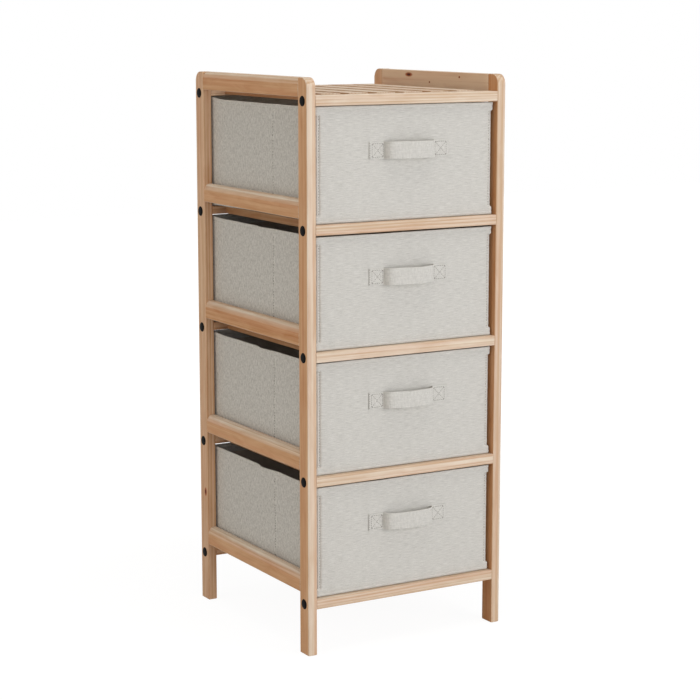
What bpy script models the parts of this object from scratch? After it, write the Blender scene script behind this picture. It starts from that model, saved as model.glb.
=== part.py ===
"""Narrow drawer cabinet: a slatted wooden frame with four fabric bins that slide out.

X runs across the front from left to right, Y from front to back and Z up, in metres.
The origin lies on the floor, in the middle of the outline of frame and handles together.
Levels and drawers are counted from the top: drawer n stands on level n + 1.
"""

import math

import bmesh
import bpy
from mathutils import Matrix

# Frame
FRAME_WIDTH = 0.349
FRAME_DEPTH = 0.367
FRAME_HEIGHT = 0.870
POST_THICKNESS = 0.015
POST_DEPTH = 0.027
POST_TOP_RADIUS = 0.010
EDGE_RADIUS = 0.0012

# Levels: a front rail, a back rail and the slats between them
DRAWER_COUNT = 4
LOWEST_BOLT_HEIGHT = 0.079
TOP_BOLT_DROP = 0.034
RAIL_DEPTH = 0.027
RAIL_RISE = 0.00825
FRONT_RAIL_HEIGHT = 0.0155
BACK_RAIL_HEIGHT = 0.0129

# Slats: those of the top level stand proud of its rails, the others lie below them
SLAT_COUNT = 6
SLAT_WIDTH = 0.032
SLAT_GAP = 0.0155
SLAT_THICKNESS = 0.012
SLAT_DROP = 0.0006
TOP_SLAT_RISE = 0.0012
TONGUE_LENGTH = 0.008
TONGUE_SHOULDER = 0.003

# Side rails: as thick as the posts, with a sloped upper outer corner
SIDE_RAIL_HEIGHT = 0.0285
SIDE_RAIL_LIFT = 0.0165
CHAMFER_DROP = 0.010
CHAMFER_INSET = 0.008
TENON_LENGTH = 0.012
TENON_SHOULDER = 0.0045

# Bolts
BOLT_LENGTH = 0.040
BOLT_SHANK_RADIUS = 0.0025
BOLT_HEAD_RADIUS = 0.00775
BOLT_HEAD_HEIGHT = 0.0013
BOLT_HEAD_EDGE = 0.0005

# Bins
BIN_SIDE_GAP = 0.0032
BIN_FRONT_RECESS = 0.0075
BIN_BACK_RECESS = 0.0075
BIN_TOP_GAP = 0.002
BIN_WALL = 0.003
BIN_INNER_RADIUS = 0.003

# Handles: a strap with a sewn-down pad at each end and a loop that stands off the bin
HANDLE_LENGTH = 0.1405
HANDLE_PAD = 0.0247
HANDLE_HEIGHT = 0.026
HANDLE_STANDOFF = 0.019
HANDLE_SHIFT = 0.0049
HANDLE_DROP = 0.066
STRAP_THICKNESS = 0.002
LOOP_FULLNESS = 2.8

# Room left between pieces that touch, and how far a cutter runs past what it cuts
CLEARANCE = 0.0003
OVERCUT = 0.002

# Facets of rounded shapes
EASED_ANGLE = math.radians(60)
SMOOTH_ANGLE = math.radians(40)
EASE_SEGMENTS = 2
POST_TOP_SEGMENTS = 6
CORNER_SEGMENTS = 3
LOOP_SEGMENTS = 12
BOLT_SIDES = 12
DOME_STEPS = 3

# Finishes: linear colour, roughness and metallic value
PINE = ((0.62, 0.43, 0.27), 0.55, 0.0)
BLACK_METAL = ((0.02, 0.02, 0.02), 0.35, 0.6)
LINEN = ((0.62, 0.60, 0.56), 0.9, 0.0)
STRAP_LINEN = ((0.60, 0.58, 0.54), 0.9, 0.0)

LEFT, RIGHT = -1, 1
FRONT, BACK = -1, 1
SIDE_NAMES = {LEFT: "left", RIGHT: "right"}
END_NAMES = {FRONT: "front", BACK: "back"}

LEVEL_COUNT = DRAWER_COUNT + 1
LEVEL_PITCH = (FRAME_HEIGHT - TOP_BOLT_DROP - LOWEST_BOLT_HEIGHT) / DRAWER_COUNT
HALF_WIDTH = FRAME_WIDTH / 2
HALF_DEPTH = FRAME_DEPTH / 2
HALF_OPENING = HALF_WIDTH - POST_THICKNESS
HANDLE_REACH = HANDLE_STANDOFF - BIN_FRONT_RECESS
BOLT_HOLE_RADIUS = BOLT_SHANK_RADIUS + CLEARANCE


def level_height(level):
    """Height of the bolts of a level, where level 0 is the top one."""
    return FRAME_HEIGHT - TOP_BOLT_DROP - level * LEVEL_PITCH


def rail_top(level):
    return level_height(level) + RAIL_RISE


def slat_middle(level):
    """Height of the middle of a level's slats."""
    top = rail_top(level) + (TOP_SLAT_RISE if level == 0 else -SLAT_DROP)
    return top - SLAT_THICKNESS / 2


def slat_places():
    """Middles of the slats across the frame."""
    pitch = SLAT_WIDTH + SLAT_GAP
    return [(index - (SLAT_COUNT - 1) / 2) * pitch for index in range(SLAT_COUNT)]


def side_rail_middle(level):
    """Height of the middle of a side rail; the top one ends level with the posts."""
    if level == 0:
        return FRAME_HEIGHT - SIDE_RAIL_HEIGHT / 2
    return level_height(level) + SIDE_RAIL_LIFT + SIDE_RAIL_HEIGHT / 2


def add_box(shape, size, centre=(0.0, 0.0, 0.0)):
    matrix = Matrix.Translation(centre) @ Matrix.Diagonal((*size, 1.0))
    bmesh.ops.create_cube(shape, size=1.0, matrix=matrix)


def add_bolt_hole(shape, length, centre):
    """Add a cylinder along X that clears a bolt's shank."""
    matrix = Matrix.Translation(centre) @ Matrix.Rotation(math.pi / 2, 4, "Y")
    bmesh.ops.create_cone(shape, cap_ends=True, segments=BOLT_SIDES, radius1=BOLT_HOLE_RADIUS,
                          radius2=BOLT_HOLE_RADIUS, depth=length, matrix=matrix)


def round_edges(shape, edges, radius, segments):
    bmesh.ops.bevel(shape, geom=edges, offset=radius, offset_type="OFFSET", segments=segments,
                    profile=0.5, affect="EDGES", clamp_overlap=True)


def sharp_edges(shape):
    return [edge for edge in shape.edges if edge.calc_face_angle(0.0) > EASED_ANGLE]


def ease_long_edges(shape, axis, length):
    """Round the sharp edges that run the whole length of a piece along one axis."""
    edges = []
    for edge in sharp_edges(shape):
        run = edge.verts[1].co - edge.verts[0].co
        if abs(run[axis]) > 0.9 * length:
            edges.append(edge)
    round_edges(shape, edges, EDGE_RADIUS, EASE_SEGMENTS)


def add_tongue(shape, face, shoulder, length):
    """Turn an end face into a shoulder with a tongue on it."""
    direction = face.normal.copy()
    bmesh.ops.inset_individual(shape, faces=[face], thickness=shoulder, use_even_offset=True)
    tip = bmesh.ops.extrude_discrete_faces(shape, faces=[face])["faces"][0]
    bmesh.ops.translate(shape, verts=tip.verts, vec=direction * length)


def slice_corner(shape, point, normal):
    """Take away what lies beyond a plane and close the cut."""
    geometry = [*shape.verts, *shape.edges, *shape.faces]
    cut = bmesh.ops.bisect_plane(shape, geom=geometry, plane_co=point, plane_no=normal,
                                 clear_outer=True)
    rim = [item for item in cut["geom_cut"] if isinstance(item, bmesh.types.BMEdge)]
    bmesh.ops.holes_fill(shape, edges=rim)


def make_material(name, finish):
    colour, roughness, metallic = finish
    material = bpy.data.materials.new(name)
    material.use_nodes = True
    material.diffuse_color = (*colour, 1.0)
    shader = material.node_tree.nodes["Principled BSDF"]
    shader.inputs["Base Color"].default_value = (*colour, 1.0)
    shader.inputs["Roughness"].default_value = roughness
    shader.inputs["Metallic"].default_value = metallic
    return material


def add_object(name, shape, collection, parent, location):
    mesh = bpy.data.meshes.new(name)
    shape.to_mesh(mesh)
    shape.free()
    mesh.shade_smooth()
    mesh.set_sharp_from_angle(angle=SMOOTH_ANGLE)
    piece = bpy.data.objects.new(name, mesh)
    piece.parent = parent
    piece.location = location
    collection.objects.link(piece)
    return piece


def add_piece(name, shape, scene_parts, parent, location, finish):
    piece = add_object(name, shape, scene_parts["pieces"], parent, location)
    piece.data.materials.append(make_material(name, finish))
    return piece


def apply_boolean(piece, shape, operation, scene_parts):
    """Cut a shape out of a piece, or join it on; both have the same origin."""
    helper = add_object(f"{piece.name}_{operation.lower()}", shape, scene_parts["cutters"],
                        piece.parent, piece.location)
    helper.hide_render = True
    helper.display_type = "WIRE"
    modifier = piece.modifiers.new(operation.title(), "BOOLEAN")
    modifier.operation = operation
    modifier.solver = "EXACT"
    modifier.object = helper


def build_post(side, end, scene_parts):
    shape = bmesh.new()
    add_box(shape, (POST_THICKNESS, POST_DEPTH, FRAME_HEIGHT))
    top_edges = [edge for edge in shape.edges
                 if all(vert.co.y * end > 0 and vert.co.z > 0 for vert in edge.verts)]
    round_edges(shape, top_edges, POST_TOP_RADIUS, POST_TOP_SEGMENTS)
    round_edges(shape, sharp_edges(shape), EDGE_RADIUS, EASE_SEGMENTS)
    name = f"post_{SIDE_NAMES[side]}_{END_NAMES[end]}"
    location = (side * (HALF_WIDTH - POST_THICKNESS / 2), end * (HALF_DEPTH - POST_DEPTH / 2),
                FRAME_HEIGHT / 2)
    post = add_piece(name, shape, scene_parts, scene_parts["frame"], location, PINE)

    mortise_size = (POST_THICKNESS - 2 * (TENON_SHOULDER - CLEARANCE), TENON_LENGTH + OVERCUT,
                    SIDE_RAIL_HEIGHT - 2 * (TENON_SHOULDER - CLEARANCE))
    mortise_y = -end * (POST_DEPTH / 2 - (TENON_LENGTH - OVERCUT) / 2)
    cutter = bmesh.new()
    for level in range(LEVEL_COUNT):
        bolt_z = level_height(level) - FRAME_HEIGHT / 2
        add_bolt_hole(cutter, POST_THICKNESS + 2 * OVERCUT, (0.0, 0.0, bolt_z))
        mortise_z = side_rail_middle(level) - FRAME_HEIGHT / 2
        add_box(cutter, mortise_size, (0.0, mortise_y, mortise_z))
    apply_boolean(post, cutter, "DIFFERENCE", scene_parts)


def build_side_rail(side, level, scene_parts):
    length = FRAME_DEPTH - 2 * POST_DEPTH - 2 * CLEARANCE
    shape = bmesh.new()
    add_box(shape, (POST_THICKNESS, length, SIDE_RAIL_HEIGHT))
    for face in [face for face in shape.faces if abs(face.normal.y) > 0.9]:
        add_tongue(shape, face, TENON_SHOULDER, TENON_LENGTH)
    slope_foot = (side * POST_THICKNESS / 2, 0.0, SIDE_RAIL_HEIGHT / 2 - CHAMFER_DROP)
    slice_corner(shape, slope_foot, (side * CHAMFER_DROP, 0.0, CHAMFER_INSET))
    ease_long_edges(shape, 1, length)
    location = (side * (HALF_WIDTH - POST_THICKNESS / 2), 0.0, side_rail_middle(level))
    add_piece(f"side_rail_{SIDE_NAMES[side]}_{level + 1}", shape, scene_parts,
              scene_parts["frame"], location, PINE)


def build_rail(name, level, end, height, scene_parts):
    """A rail across the front or the back, with a hole for a bolt in each end."""
    length = 2 * (HALF_OPENING - CLEARANCE)
    shape = bmesh.new()
    add_box(shape, (length, RAIL_DEPTH, height))
    ease_long_edges(shape, 0, length)
    middle = rail_top(level) - height / 2
    location = (0.0, end * (HALF_DEPTH - RAIL_DEPTH / 2), middle)
    rail = add_piece(name, shape, scene_parts, scene_parts["frame"], location, PINE)

    hole_length = HALF_OPENING + OVERCUT - (HALF_WIDTH - BOLT_LENGTH)
    hole_x = HALF_OPENING + OVERCUT - hole_length / 2
    bolt_y = end * (HALF_DEPTH - POST_DEPTH / 2) - location[1]
    cutter = bmesh.new()
    for side in (LEFT, RIGHT):
        add_bolt_hole(cutter, hole_length, (side * hole_x, bolt_y, level_height(level) - middle))
    return rail, cutter


def add_grooves(cutter, rail, level, end):
    """Add the pockets for the slats' tongues to a rail's cutter."""
    size = (SLAT_WIDTH - 2 * (TONGUE_SHOULDER - CLEARANCE), TONGUE_LENGTH + OVERCUT,
            SLAT_THICKNESS - 2 * (TONGUE_SHOULDER - CLEARANCE))
    groove_y = -end * (RAIL_DEPTH / 2 - (TONGUE_LENGTH - OVERCUT) / 2)
    for x in slat_places():
        add_box(cutter, size, (x, groove_y, slat_middle(level) - rail.location.z))


def build_front_rail(level, scene_parts):
    rail, cutter = build_rail(f"front_rail_{level + 1}", level, FRONT, FRONT_RAIL_HEIGHT,
                              scene_parts)
    add_grooves(cutter, rail, level, FRONT)
    apply_boolean(rail, cutter, "DIFFERENCE", scene_parts)


def make_slat(length, tongue_ends):
    """A slat along Y as a new bmesh, with a tongue on each of the ends that are named."""
    slat = bmesh.new()
    add_box(slat, (SLAT_WIDTH, length, SLAT_THICKNESS))
    for face in [face for face in slat.faces if round(face.normal.y) in tongue_ends]:
        add_tongue(slat, face, TONGUE_SHOULDER, TONGUE_LENGTH)
    ease_long_edges(slat, 1, length)
    return slat


def append_shape(target, shape, offset):
    """Move a bmesh by an offset and add it to another one."""
    bmesh.ops.translate(shape, verts=shape.verts, vec=offset)
    mesh = bpy.data.meshes.new("appended")
    shape.to_mesh(mesh)
    shape.free()
    target.from_mesh(mesh)
    bpy.data.meshes.remove(mesh)


def build_top_slats(scene_parts):
    """The top level's slats, each let into the front rail and the back rail."""
    length = FRAME_DEPTH - 2 * RAIL_DEPTH - 2 * CLEARANCE
    for index, x in enumerate(slat_places()):
        shape = make_slat(length, (FRONT, BACK))
        add_piece(f"top_slat_{index + 1}", shape, scene_parts, scene_parts["frame"],
                  (x, 0.0, slat_middle(0)), PINE)


def build_top_back_rail(scene_parts):
    rail, cutter = build_rail("back_rail_1", 0, BACK, BACK_RAIL_HEIGHT, scene_parts)
    add_grooves(cutter, rail, 0, BACK)
    apply_boolean(rail, cutter, "DIFFERENCE", scene_parts)


def build_slat_grid(level, scene_parts):
    """A lower level's back rail with its slats glued in, as one piece."""
    grid, cutter = build_rail(f"slat_grid_{level + 1}", level, BACK, BACK_RAIL_HEIGHT,
                              scene_parts)
    slats = bmesh.new()
    front = -HALF_DEPTH + RAIL_DEPTH + CLEARANCE - grid.location.y
    back = -RAIL_DEPTH / 2 + TONGUE_LENGTH
    for x in slat_places():
        middle = (x, (front + back) / 2, slat_middle(level) - grid.location.z)
        append_shape(slats, make_slat(back - front, (FRONT,)), middle)
    apply_boolean(grid, slats, "UNION", scene_parts)
    apply_boolean(grid, cutter, "DIFFERENCE", scene_parts)


def bolt_profile():
    """Half outline of a capped bolt as (radius, height), from its dome down to its tip."""
    points = []
    for step in range(DOME_STEPS + 1):
        angle = step / DOME_STEPS * math.pi / 2
        rise = (BOLT_HEAD_HEIGHT - BOLT_HEAD_EDGE) * math.cos(angle)
        points.append((BOLT_HEAD_RADIUS * math.sin(angle), BOLT_HEAD_EDGE + rise))
    points += [(BOLT_HEAD_RADIUS, 0.0), (BOLT_SHANK_RADIUS, 0.0),
               (BOLT_SHANK_RADIUS, -BOLT_LENGTH), (0.0, -BOLT_LENGTH)]
    return points


def build_bolt(side, end, level, scene_parts):
    """A bolt through a post into a rail's end, with a domed cap on the outside."""
    shape = bmesh.new()
    verts = [shape.verts.new((radius, 0.0, height)) for radius, height in bolt_profile()]
    for above, below in zip(verts, verts[1:]):
        shape.edges.new((above, below))
    name = f"bolt_{SIDE_NAMES[side]}_{END_NAMES[end]}_{level + 1}"
    location = (side * (HALF_WIDTH + CLEARANCE), end * (HALF_DEPTH - POST_DEPTH / 2),
                level_height(level))
    bolt = add_piece(name, shape, scene_parts, scene_parts["frame"], location, BLACK_METAL)
    bolt.rotation_euler = (0.0, side * math.pi / 2, 0.0)
    turning = bolt.modifiers.new("Turning", "SCREW")
    turning.axis = "Z"
    turning.steps = BOLT_SIDES
    turning.render_steps = BOLT_SIDES
    turning.use_merge_vertices = True
    turning.merge_threshold = 0.00001
    turning.use_smooth_shade = True


def build_bin(number, drawer, width, depth, height, scene_parts):
    """An open box of stiffened fabric: a shell around its inside."""
    shape = bmesh.new()
    add_box(shape, (width, depth, height), (0.0, depth / 2, height / 2))
    lid = next(face for face in shape.faces if face.normal.z > 0.9)
    bmesh.ops.delete(shape, geom=[lid], context="FACES_ONLY")
    corners = [edge for edge in shape.edges
               if abs(edge.verts[0].co.z - edge.verts[1].co.z) > 0.9 * height]
    round_edges(shape, corners, BIN_INNER_RADIUS + BIN_WALL, CORNER_SEGMENTS)
    basket = add_piece(f"drawer_{number}_bin", shape, scene_parts, drawer, (0.0, 0.0, 0.0),
                       LINEN)
    shell = basket.modifiers.new("Shell", "SOLIDIFY")
    shell.thickness = BIN_WALL
    shell.offset = -1.0
    shell.use_even_offset = True


def strap_path():
    """Plan of the strap's middle as (x, y), from its left end to its right end."""
    pad_y = -(CLEARANCE + STRAP_THICKNESS / 2)
    loop_y = -(HANDLE_STANDOFF - STRAP_THICKNESS / 2)
    half_loop = HANDLE_LENGTH / 2 - HANDLE_PAD
    points = [(-HANDLE_LENGTH / 2, pad_y)]
    for step in range(LOOP_SEGMENTS + 1):
        angle = math.pi * (1 - step / LOOP_SEGMENTS)
        across = math.copysign(abs(math.cos(angle)) ** (2 / LOOP_FULLNESS), math.cos(angle))
        out = abs(math.sin(angle)) ** (2 / LOOP_FULLNESS)
        points.append((half_loop * across, pad_y + (loop_y - pad_y) * out))
    points.append((HANDLE_LENGTH / 2, pad_y))
    return points


def build_handle(number, drawer, height, scene_parts):
    """A strap set on edge: its plan raised to the strap's width, then thickened."""
    shape = bmesh.new()
    low = -HANDLE_HEIGHT / 2
    verts = [shape.verts.new((x, y, low)) for x, y in strap_path()]
    edges = [shape.edges.new(pair) for pair in zip(verts, verts[1:])]
    raised = bmesh.ops.extrude_edge_only(shape, edges=edges)["geom"]
    top = [item for item in raised if isinstance(item, bmesh.types.BMVert)]
    bmesh.ops.translate(shape, verts=top, vec=(0.0, 0.0, HANDLE_HEIGHT))
    bmesh.ops.recalc_face_normals(shape, faces=shape.faces)
    strap = add_piece(f"drawer_{number}_handle", shape, scene_parts, drawer,
                      (HANDLE_SHIFT, 0.0, height - HANDLE_DROP), STRAP_LINEN)
    thickness = strap.modifiers.new("Thickness", "SOLIDIFY")
    thickness.thickness = STRAP_THICKNESS
    thickness.offset = 0.0
    thickness.use_even_offset = True


def build_drawer(number, scene_parts):
    """A bin and its handle under an empty at the foot of the bin's front."""
    width = 2 * (HALF_OPENING - BIN_SIDE_GAP)
    depth = FRAME_DEPTH - BIN_FRONT_RECESS - BIN_BACK_RECESS
    height = LEVEL_PITCH - FRONT_RAIL_HEIGHT - BIN_TOP_GAP - CLEARANCE
    drawer = add_empty(f"drawer_{number}", scene_parts["pieces"], scene_parts["frame"],
                       (0.0, -HALF_DEPTH + BIN_FRONT_RECESS, rail_top(number) + CLEARANCE))
    build_bin(number, drawer, width, depth, height, scene_parts)
    build_handle(number, drawer, height, scene_parts)


def add_empty(name, collection, parent, location):
    empty = bpy.data.objects.new(name, None)
    empty.parent = parent
    empty.location = location
    collection.objects.link(empty)
    return empty


def add_collection(name):
    collection = bpy.data.collections.new(name)
    bpy.context.scene.collection.children.link(collection)
    return collection


def clear_scene():
    for leftover in list(bpy.data.objects):
        bpy.data.objects.remove(leftover, do_unlink=True)


def main():
    clear_scene()
    scene_parts = {"pieces": add_collection("drawer_cabinet"),
                   "cutters": add_collection("cutters")}
    scene_parts["frame"] = add_empty("frame", scene_parts["pieces"], None,
                                     (0.0, HANDLE_REACH / 2, 0.0))
    for side in (LEFT, RIGHT):
        for end in (FRONT, BACK):
            build_post(side, end, scene_parts)
    for level in range(LEVEL_COUNT):
        build_front_rail(level, scene_parts)
        for side in (LEFT, RIGHT):
            build_side_rail(side, level, scene_parts)
            for end in (FRONT, BACK):
                build_bolt(side, end, level, scene_parts)
    build_top_back_rail(scene_parts)
    build_top_slats(scene_parts)
    for level in range(1, LEVEL_COUNT):
        build_slat_grid(level, scene_parts)
    for number in range(1, DRAWER_COUNT + 1):
        build_drawer(number, scene_parts)


main()
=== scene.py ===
# %% [markdown]
# # A pine stand with four fabric drawers
#
# The real object is a narrow bathroom cabinet: a frame of planed pine, bolted together, with
# four stiffened fabric bins that slide in it as drawers. The sizes were settled in CAD.
# This lesson loads that model as a fixed frame and dresses it: it cuts each board out of a log
# with growth rings, and sews new bins and handles in place of the plain CAD ones.

# %% Load the frame
from math import radians

import bpy
import numpy as np
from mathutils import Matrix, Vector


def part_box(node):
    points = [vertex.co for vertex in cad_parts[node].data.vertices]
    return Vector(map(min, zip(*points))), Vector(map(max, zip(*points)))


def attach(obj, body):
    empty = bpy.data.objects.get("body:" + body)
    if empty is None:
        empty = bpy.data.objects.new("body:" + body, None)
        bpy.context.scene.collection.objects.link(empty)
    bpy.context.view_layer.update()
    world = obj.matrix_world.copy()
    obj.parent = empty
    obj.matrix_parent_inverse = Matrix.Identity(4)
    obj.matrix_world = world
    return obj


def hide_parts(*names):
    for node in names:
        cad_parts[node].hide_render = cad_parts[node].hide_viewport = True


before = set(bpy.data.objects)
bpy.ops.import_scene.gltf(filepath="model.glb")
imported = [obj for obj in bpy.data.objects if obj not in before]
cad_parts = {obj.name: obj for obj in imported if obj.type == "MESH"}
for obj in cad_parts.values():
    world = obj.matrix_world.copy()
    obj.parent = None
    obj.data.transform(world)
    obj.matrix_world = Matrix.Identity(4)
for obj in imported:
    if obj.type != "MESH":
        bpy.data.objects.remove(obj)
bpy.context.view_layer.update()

# %% [markdown]
# ## Camera
#
# The place, turn and lens come from fitting a pinhole camera to points of the cabinet whose real
# places are known, such as the feet and the bolts. The camera looks down a little and has no
# lens shift, so that it can be moved round the cabinet and still point at it.

# %% Place the camera
camera_data = bpy.data.cameras.new("camera")
camera_data.sensor_width = 36
camera_data.lens = 101.31
camera = bpy.data.objects.new("camera", camera_data)
camera.location = (-1.5671, -2.6822, 0.9635)
camera.rotation_euler = (radians(90 - 9.739), 0, radians(-30.326))
bpy.context.scene.collection.objects.link(camera)
bpy.context.scene.camera = camera
bpy.context.scene.view_settings.view_transform = "Standard"
print("camera lens in mm:", camera_data.lens)

# %% [markdown]
# ## Small helpers
#
# Colours are written as a colour picker shows them and turned to the linear values that light
# works with. Materials are networks of nodes, and one function adds a node, sets it and
# connects it, so that a material reads from top to bottom.


# %% Colour and node helpers
def linear(hex_colour):
    """Turns a hex colour to linear light: the sRGB curve is undone for each channel."""
    channels = np.array([int(hex_colour[start:start + 2], 16) for start in (1, 3, 5)]) / 255
    straight = channels / 12.92
    curved = ((channels + 0.055) / 1.055) ** 2.4
    return (*np.where(channels <= 0.04045, straight, curved).tolist(), 1.0)


def add_node(tree, kind, inputs=None, **settings):
    """Adds a node, sets its settings, and sets each input or links it to another's output."""
    node = tree.nodes.new("ShaderNode" + kind)
    for name, value in settings.items():
        setattr(node, name, value)
    for key, value in (inputs or {}).items():
        if isinstance(value, bpy.types.NodeSocket):
            tree.links.new(value, node.inputs[key])
        else:
            node.inputs[key].default_value = value
    return node


def new_material(name):
    """Starts a material with an empty network and gives it and the network."""
    material = bpy.data.materials.new(name)
    material.use_nodes = True
    material.node_tree.nodes.clear()
    return material, material.node_tree


print("white as linear light:", linear("#ffffff"))

# %% [markdown]
# Nodes that come up again and again get a short form: arithmetic, a change of range, a blend
# of two colours, noise stretched along the axes, and a surface with its bump.


# %% Short forms of common nodes
def calculate(tree, operation, *values):
    """Adds one step of arithmetic, such as MULTIPLY, and gives its result."""
    return add_node(tree, "Math", dict(enumerate(values)), operation=operation).outputs[0]


def map_range(tree, value, start, end, to_start=0.0, to_end=1.0, kind="LINEAR"):
    """Carries a number from one range to another and stops it at the new range's ends."""
    return add_node(tree, "MapRange", {
        "Value": value, "From Min": start, "From Max": end, "To Min": to_start,
        "To Max": to_end}, interpolation_type=kind).outputs[0]


def blend(tree, share, first, second, kind="MIX"):
    """Blends two colours, each a hex text or a node's output, by a share from 0 to 1."""
    first, second = (
        linear(colour) if isinstance(colour, str) else colour for colour in (first, second))
    return add_node(tree, "Mix", {0: share, 6: first, 7: second}, data_type="RGBA",
                    blend_type=kind).outputs[2]


def noise(tree, place, scale, detail, roughness=0.5, shift=(0, 0, 0), distortion=0.0):
    """Adds noise from 0 to 1. Its scale says how many bumps fit in a metre along x, y and z."""
    stretched = add_node(tree, "Mapping", {"Vector": place, "Location": shift, "Scale": scale})
    return add_node(tree, "TexNoise", {
        "Vector": stretched.outputs[0], "Scale": 1.0, "Detail": detail, "Roughness": roughness,
        "Distortion": distortion}).outputs["Fac"]


def add_surface(tree, colour, inputs, bump=None):
    """Adds the shader with its inputs and, if given, a bump (strength, distance, height)."""
    inputs = {"Base Color": colour, **inputs}
    if bump:
        inputs["Normal"] = add_node(
            tree, "Bump", dict(zip(("Strength", "Distance", "Height"), bump))).outputs[0]
    shader = add_node(tree, "BsdfPrincipled", inputs)
    add_node(tree, "OutputMaterial", {0: shader.outputs[0]})


print("short forms ready")

# %% [markdown]
# ## Light and floor
#
# The photograph has even studio light: the front is fully lit, the left side gets a little more
# than half of that, and edges that turn left are darker than edges that turn right. So a large
# soft lamp stands in front to the right, one shines down between the top slats, weaker ones
# stand on the left, and an even, slightly warm world fills the rest. The floor looks white and
# keeps a faint shadow, because only part of its look depends on the light it gets.

# %% Set up the world
WORLD_LEVEL = 0.37
world = bpy.data.worlds.new("studio")
bpy.context.scene.world = world
world.use_nodes = True
tree = world.node_tree
tree.nodes.clear()
light_path = add_node(tree, "LightPath")
seen = calculate(
    tree, "MAXIMUM", light_path.outputs["Is Camera Ray"], light_path.outputs["Is Glossy Ray"])
seen = calculate(tree, "MAXIMUM", seen, light_path.outputs["Is Transmission Ray"])
dim = add_node(tree, "Background", {"Color": (1, 0.98, 0.95, 1), "Strength": WORLD_LEVEL})
white = add_node(tree, "Background", {"Color": (1, 1, 1, 1), "Strength": 1})
both = add_node(tree, "MixShader", {0: seen, 1: dim.outputs[0], 2: white.outputs[0]})
add_node(tree, "OutputWorld", {0: both.outputs[0]})
print("world level:", WORLD_LEVEL)


# %% Add the lamps
def add_lamp(name, place, target, size, power, colour):
    """Adds a square soft lamp at a place, turned so that it looks at the target."""
    data = bpy.data.lights.new(name, "AREA")
    data.size = size
    data.energy = power
    data.color = linear(colour)[:3]
    lamp = bpy.data.objects.new(name, data)
    bpy.context.scene.collection.objects.link(lamp)
    aim = Vector(target) - Vector(place)
    lamp.location = place
    lamp.rotation_euler = aim.to_track_quat("-Z", "Y").to_euler()
    return lamp


MIDDLE = (0, 0, 0.45)
add_lamp("key_lamp", (1.6, -3.4, 0.8), MIDDLE, 2.4, 71, "#fdfcff")
add_lamp("fill_lamp", (-1.2, -3.3, 0.6), MIDDLE, 1.8, 17, "#ffffff")
add_lamp("left_lamp", (-3.1, -0.1, 1.7), MIDDLE, 1.8, 18, "#ffefdc")
add_lamp("top_lamp", (0.0, -0.7, 3.1), MIDDLE, 1.6, 25, "#fff8ee")
print("lamps:", [light.name for light in bpy.data.lights])

# %% Lay the floor
FLOOR_REACH = 6.0
GLOW_REACH = (0.5, 1.6)
LEAST_GLOW = 0.86
GLOW_STRENGTH = 1.09
floor_mesh = bpy.data.meshes.new("floor")
floor_mesh.from_pydata(
    [(x * FLOOR_REACH, y * FLOOR_REACH, 0) for x, y in ((-1, -1), (1, -1), (1, 1), (-1, 1))],
    [], [(0, 1, 2, 3)])
floor = bpy.data.objects.new("floor", floor_mesh)
bpy.context.scene.collection.objects.link(floor)
material, tree = new_material("white_studio_paper")
light_path = add_node(tree, "LightPath")
seen = calculate(
    tree, "MAXIMUM", light_path.outputs["Is Camera Ray"], light_path.outputs["Is Glossy Ray"])
place = add_node(tree, "TexCoord")
far = add_node(tree, "VectorMath", {0: place.outputs["Object"]}, operation="LENGTH")
glowing = map_range(tree, far.outputs["Value"], *GLOW_REACH, LEAST_GLOW)
share = calculate(tree, "MULTIPLY", seen, glowing)
paper = add_node(tree, "BsdfDiffuse", {"Color": linear("#e6e6e6")})
glow = add_node(tree, "Emission", {"Color": (1, 1, 1, 1), "Strength": GLOW_STRENGTH})
both = add_node(tree, "MixShader", {0: share, 1: paper.outputs[0], 2: glow.outputs[0]})
add_node(tree, "OutputMaterial", {0: both.outputs[0]})
floor_mesh.materials.append(material)
print("floor laid")

# %% [markdown]
# ## From a grid of numbers to a surface
#
# Cloth, straps and caps are all made the same way: numpy works out a grid of points at once,
# and this helper skins it. The columns close into a ring, and the two end rows are closed with
# a fan to their middle, so that each piece is a sealed shell. A closed shell's signed volume is
# positive when its faces look outward, which is how a shell that is inside out gets noticed.

# %% Skin a grid
def skin_grid(points, places):
    """Gives the corners, faces and cloth places of a ring-shaped grid [row, column, xyz].
    Cell (r, c) joins (r, c), (r, c+1), (r+1, c+1), (r+1, c); each end is a fan of triangles.
    places is where each grid point lies on the flat cloth, with one column more than points."""
    rows, columns = points.shape[:2]
    middles = points[[0, -1]].mean(axis=1)
    corners = np.concatenate([points.reshape(-1, 3), middles])
    row, column = np.meshgrid(np.arange(rows - 1), np.arange(columns), indexing="ij")
    row, column = row.ravel(), column.ravel()
    beside = (column + 1) % columns
    quads = np.stack([
        row * columns + column, row * columns + beside,
        (row + 1) * columns + beside, (row + 1) * columns + column], axis=1)
    quad_places = np.stack([
        places[row, column], places[row, column + 1],
        places[row + 1, column + 1], places[row + 1, column]], axis=1)
    ring = np.arange(columns)
    turned = (ring + 1) % columns
    last_row = (rows - 1) * columns
    fans = np.concatenate([
        np.stack([np.full(columns, rows * columns), turned, ring], axis=1),
        np.stack([np.full(columns, rows * columns + 1), last_row + ring, last_row + turned],
                 axis=1)])
    fan_places = corners[fans][:, :, :2]
    triangles = np.concatenate([quads[:, [0, 1, 2]], quads[:, [0, 2, 3]], fans])
    first, second, third = (corners[triangles[:, side]] for side in range(3))
    if np.einsum("ij,ij->", first, np.cross(second, third)) < 0:
        quads, quad_places = quads[:, ::-1], quad_places[:, ::-1]
        fans, fan_places = fans[:, ::-1], fan_places[:, ::-1]
    return corners, quads, fans, quad_places, fan_places


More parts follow.
